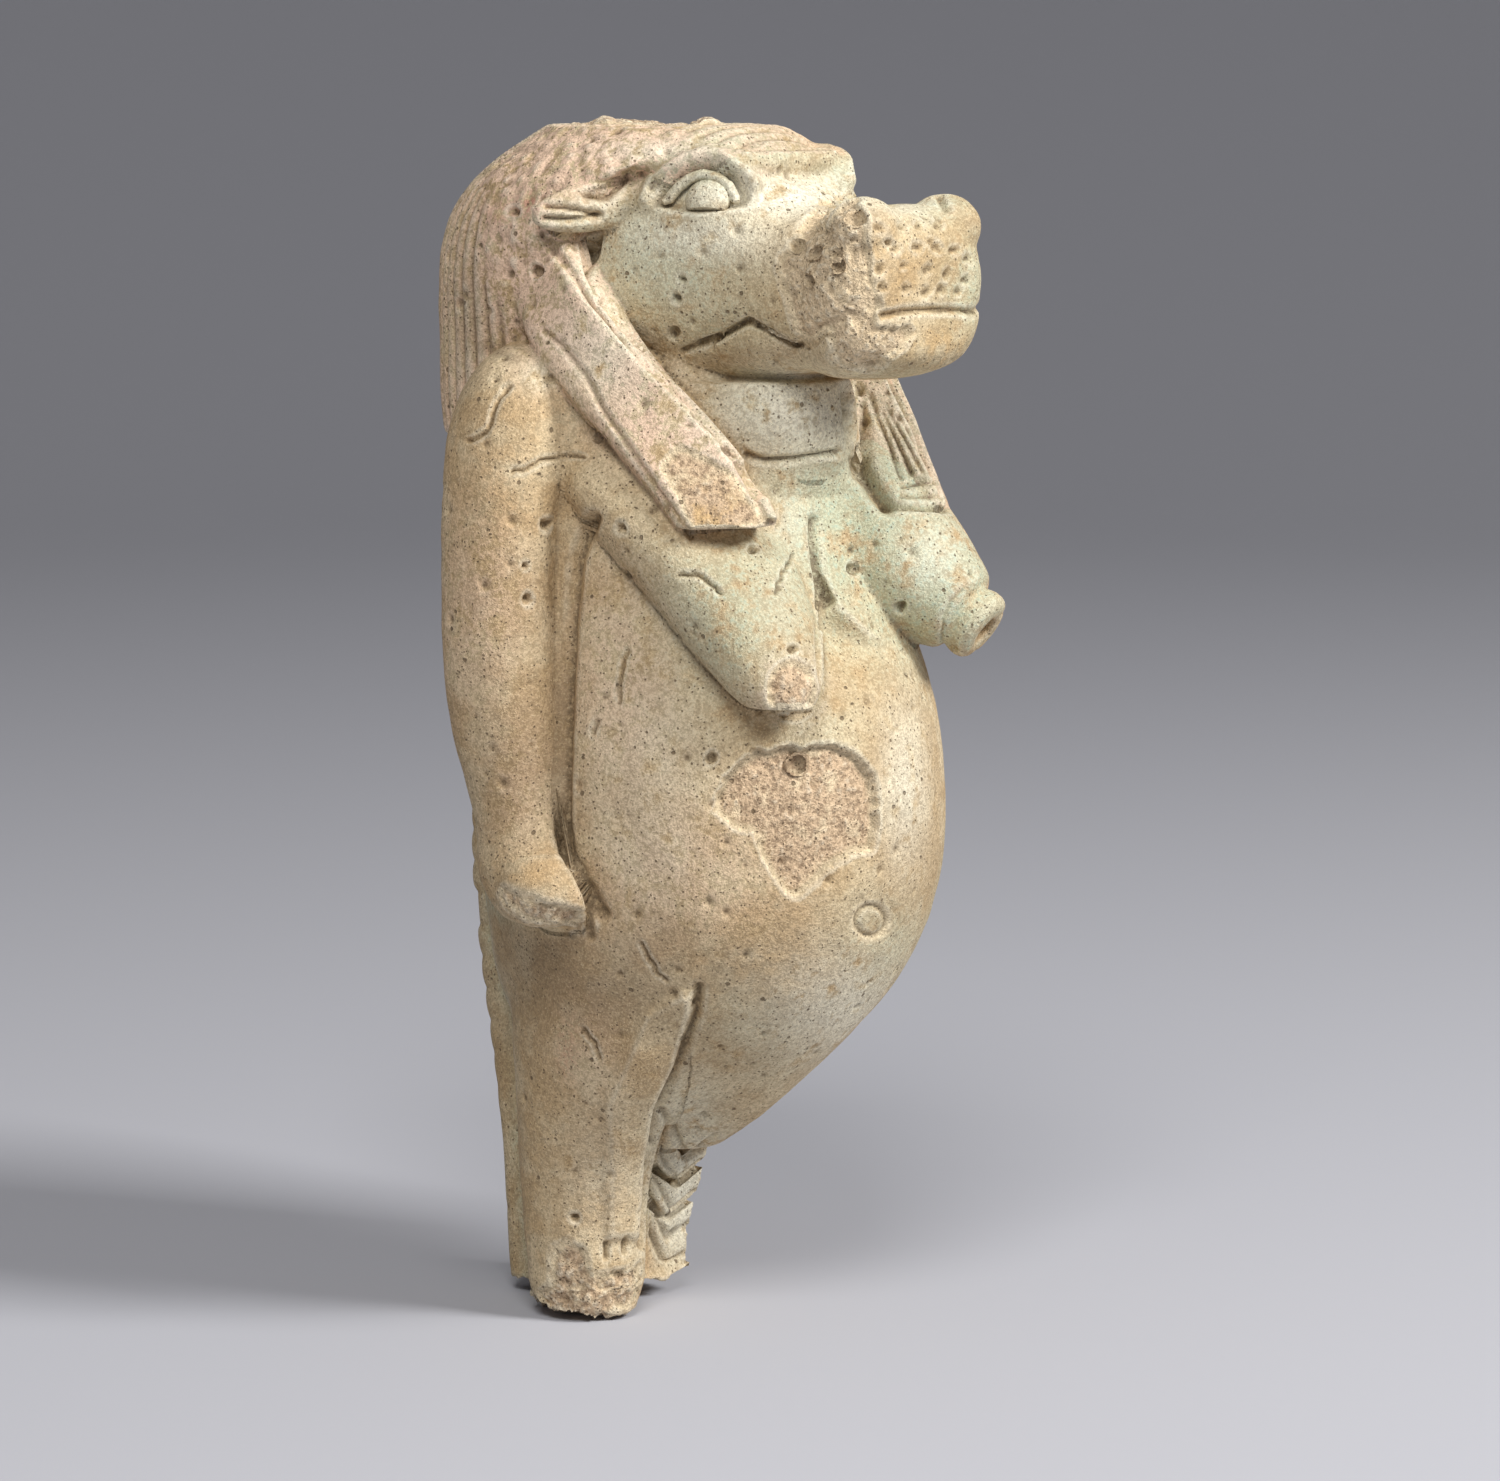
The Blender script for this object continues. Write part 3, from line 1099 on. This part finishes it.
class Glaze:
    """A material that is being mixed."""

    def __init__(self, name):
        self.material = bpy.data.materials.new(name)
        self.material.use_nodes = True
        self.tree = self.material.node_tree
        self.tree.nodes.clear()

    def add(self, kind, settings=None, inputs=None, output=0):
        """Adds a node: its type, its settings, then the values or links of its sockets."""
        node = self.tree.nodes.new(kind)
        for name, value in (settings or {}).items():
            setattr(node, name, value)
        for name, value in (inputs or {}).items():
            if isinstance(value, Tone):
                self.tree.links.new(value.socket, node.inputs[name])
            else:
                node.inputs[name].default_value = value
        return Tone(self, node.outputs[output]) if node.outputs else None

    def sum(self, operation, first, second):
        return self.add("ShaderNodeMath", {"operation": operation}, {0: first, 1: second})

    def ease(self, value, low, high):
        """0 below low, 1 above high, smooth between."""
        settings = {"interpolation_type": "SMOOTHSTEP"}
        return self.add("ShaderNodeMapRange", settings, {"Value": value, "From Min": low, "From Max": high})

    def blend(self, share, under, over):
        """One colour over another by a share."""
        return self.add("ShaderNodeMix", {"data_type": "RGBA"}, {0: share, 6: under, 7: over}, output=2)

    def painted(self, name):
        return self.add("ShaderNodeAttribute", {"attribute_name": name}, output=2)

    def mottle(self, place, size, detail, roughness=0.6):
        inputs = {"Vector": place, "Scale": 1 / size, "Detail": detail, "Roughness": roughness}
        return self.add("ShaderNodeTexNoise", None, inputs)

    def pores(self, place, spacing, radius, share):
        """Round pores, 1 in the middle, in a share of the cells of a random grid."""
        inputs = {"Vector": place, "Scale": 1 / spacing, "Randomness": 1.0}
        apart = self.add("ShaderNodeTexVoronoi", None, inputs)
        pick = self.add("ShaderNodeTexVoronoi", None, inputs, output=1)
        chance = self.add("ShaderNodeSeparateColor", None, {0: pick})
        here = self.ease(share - chance, 0.0, 0.05)
        return here * self.ease(apart, radius / spacing, 0.6 * radius / spacing)


def worn_faience(name, pinkness, shine):
    """Sandy, porous faience: faded green glaze over a buff core, with pink and ochre stains."""
    glaze = Glaze(name)
    place = glaze.add("ShaderNodeTexCoord", output=3)
    cloud = glaze.mottle(place, CLOUD_SIZE * MM, 5)
    drift = glaze.mottle(place, DRIFT_SIZE * MM, 6)
    speck = glaze.mottle(place, SPECK_SIZE * MM, 3, 0.7)
    dust = glaze.mottle(place, DUST_SIZE * MM, 2, 0.7)
    broken = glaze.painted("broken")
    colour = glaze.blend(glaze.ease(cloud, 0.42, 0.62), BUFF, PALE)
    green = glaze.painted("green") * glaze.ease(drift + 0.35 * cloud, 0.42, 0.72)
    colour = glaze.blend(green, colour, GREEN)
    colour = glaze.blend(green * glaze.ease(speck, 0.5, 0.66) * 0.8, colour, TURQUOISE)
    pink = (glaze.painted("pink") + pinkness) * glaze.ease(drift + 0.5 * speck, 0.6, 0.84)
    colour = glaze.blend(pink, colour, PINK)
    colour = glaze.blend(glaze.painted("brown"), colour, BROWN)
    colour = glaze.blend(glaze.painted("white") * glaze.ease(drift, 0.28, 0.48), colour, WHITE)
    colour = glaze.blend(glaze.painted("red") * glaze.ease(speck, 0.4, 0.58), colour, RED)
    floor = glaze.blend(glaze.ease(speck, 0.38, 0.54), BREAK_DARK, BREAK)
    floor = glaze.blend(glaze.ease(drift, 0.5, 0.66) * 0.6, floor, CREAM)
    colour = glaze.blend(broken, colour, floor)
    colour = glaze.blend(glaze.painted("ochre") * glaze.ease(drift, 0.4, 0.6) * 0.85, colour, OCHRE)
    colour = glaze.blend(glaze.painted("cream"), colour, CREAM)
    colour = glaze.blend(glaze.painted("raised") * 0.35, colour, WHITE)
    sand = glaze.ease(speck * 0.6 + dust * 0.6, 0.48, 0.72)
    colour = glaze.blend(0.42 - 0.42 * sand, colour, GRIME)
    colour = glaze.blend(glaze.ease(dust, 0.56, 0.72) * 0.35, colour, CREAM)
    grime = glaze.painted("grime") * glaze.ease(speck, 0.3, 0.56)
    colour = glaze.blend(grime * 0.85, colour, GRIME)
    inputs = {"Vector": place, "Scale": 1 / (FRAY_SIZE * MM), "Detail": 2.0}
    fray = glaze.add("ShaderNodeTexNoise", None, inputs, output=1)
    shift = glaze.add("ShaderNodeVectorMath", {"operation": "SCALE"}, {0: fray, "Scale": FRAY_SHIFT * MM})
    frayed = glaze.add("ShaderNodeVectorMath", {"operation": "ADD"}, {0: place, 1: shift})
    thick = 0.3 + 0.6 * glaze.ease(cloud, 0.38, 0.62) + 0.3 * broken
    pore = 0.0
    for spacing, radius, share in PORE_LAYERS:
        more = glaze.pores(frayed, spacing * MM, radius * MM, thick * share)
        pore = glaze.sum("MAXIMUM", pore, more)
    colour = glaze.blend(pore * 0.8, colour, PORE)
    height = dust * 0.5 + speck * 0.8 - pore * 1.2 + broken * speck * 0.9
    bump = glaze.add("ShaderNodeBump", None, {"Strength": 0.8, "Distance": BUMP_DEPTH * MM, "Height": height})
    rough = shine - 0.15 * green + 0.1 * pore
    inputs = {"Base Color": colour, "Roughness": rough, "Normal": bump, "IOR": 1.45}
    body = glaze.add("ShaderNodeBsdfPrincipled", None, inputs)
    glaze.add("ShaderNodeOutputMaterial", None, {"Surface": body})
    return glaze.material


def camera():
    right, up, toward = view_axes()
    lens = bpy.data.cameras.new("camera")
    lens.sensor_width = 36
    lens.lens = lens.sensor_width * VIEW_DISTANCE / PIXEL / PHOTO_WIDTH
    lens.shift_x = (PHOTO_WIDTH / 2 - TARGET_PIXEL[0]) / PHOTO_WIDTH
    lens.shift_y = (TARGET_PIXEL[1] - PHOTO_HEIGHT / 2) / PHOTO_WIDTH
    eye = new_object("camera", lens)
    turn = Matrix((right, up, toward)).transposed().to_4x4()
    eye.matrix_world = Matrix.Translation(VIEW_TARGET + VIEW_DISTANCE * toward) @ turn
    bpy.context.scene.camera = eye


def lamp(name, right_share, up_share, toward_share, distance, size, watts):
    right, up, toward = view_axes()
    way = (right_share * right + up_share * Vector((0, 0, 1)) + toward_share * toward).normalized()
    light = bpy.data.lights.new(name, "AREA")
    light.size = size
    light.energy = watts
    thing = new_object(name, light)
    thing.location = VIEW_TARGET + distance * way
    thing.rotation_euler = way.to_track_quat("Z", "Y").to_euler()


def stage():
    """A pale floor that curves up into its own backdrop, and soft light from above."""
    clay = bmesh.new()
    bmesh.ops.create_grid(clay, x_segments=96, y_segments=96, size=FLOOR_HALF)
    for vert in clay.verts:
        vert.co.z = FLOOR_CURVE * max(0, vert.co.length - FLOOR_FLAT) ** 2
    floor = object_from("floor", clay)
    floor.data.shade_smooth()
    paint = Glaze("pale_floor")
    inputs = {"Base Color": FLOOR_PAINT, "Roughness": FLOOR_ROUGHNESS}
    matt = paint.add("ShaderNodeBsdfPrincipled", None, inputs)
    paint.add("ShaderNodeOutputMaterial", None, {"Surface": matt})
    floor.data.materials.append(paint.material)
    world = bpy.data.worlds.new("soft_room")
    world.use_nodes = True
    world.node_tree.nodes["Background"].inputs["Color"].default_value = ROOM_LIGHT
    world.node_tree.nodes["Background"].inputs["Strength"].default_value = ROOM_STRENGTH
    bpy.context.scene.world = world
    for name, setting in LAMPS.items():
        lamp(name, *setting)


skin = wet_clay()
skin.rub(6)
owner = settled(skin, nearest_nodes(skin))
rub_joints(skin, owner)
smooth_face(skin, [Sight(skin, mirrored) for mirrored in (False, True)])
sights = [Sight(skin, mirrored) for mirrored in (False, True)]
carve_face(skin, sights)
carve_hair(skin, owner, sights)
carve_body(skin, owner, sights[0])
skin.rub(1)
broken = break_edges(skin, owner, sights[0])
wear(skin)
skin.points = np.clip(skin.points, np.array(cad_box[0]) + BOX_SPARE, np.array(cad_box[1]) - BOX_SPARE)
painted = tints(skin, sights, broken)
quad_owner = np.array([np.bincount(quad, minlength=len(NODES)).argmax() for quad in owner[skin.faces]])
finishes = {
    "faience_skin": worn_faience("faience_skin", pinkness=0.0, shine=0.78),
    "faience_wig": worn_faience("faience_wig", pinkness=0.6, shine=0.8),
    "faience_break": worn_faience("faience_break", pinkness=0.1, shine=0.9),
}
slots = {part["node"]: part["material_slot"] for part in frame["record"]["subparts"]}
tools = {
    "hollow": hollow_tool(),
    "mouth": bore_tool("mouth_tool", mouth_rod, MOUTH_BORE),
    "spout": bore_tool("spout_tool", spout_rod, SPOUT_BORE),
}
bored = {
    "mouth_collar": ["mouth"], "head": ["mouth"], "belly_shell": ["hollow", "mouth", "spout"],
    "back_shell": ["hollow", "mouth"], "left_breast": ["spout"], "wig_cap": ["mouth"],
}
for number, name in enumerate(NODES):
    if name in EYES:
        side = 1 if EYES[name] else -1
        piece = set_piece(skin, name, eyeball(skin, sights[EYES[name]], side), painted)
    elif name in LIDS:
        piece = set_piece(skin, name, eyelid(skin, sights[LIDS[name]]), painted)
    else:
        piece = cut_piece(skin, name, quad_owner == number, painted)
    for tool in bored.get(name, ()):
        settings = {"operation": "DIFFERENCE", "solver": "MANIFOLD", "object": tools[tool]}
        piece.data = mesh_after(piece, "BOOLEAN", **settings)
    piece.data.shade_smooth()
    piece.data.set_sharp_from_angle(angle=SHARP_EDGE)
    piece.data.materials.clear()
    piece.data.materials.append(finishes[slots[name]])
    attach(piece, "root")
    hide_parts(name)
for tool in tools.values():
    bpy.data.objects.remove(tool)

camera()
stage()
bpy.context.scene.view_settings.view_transform = "Standard"
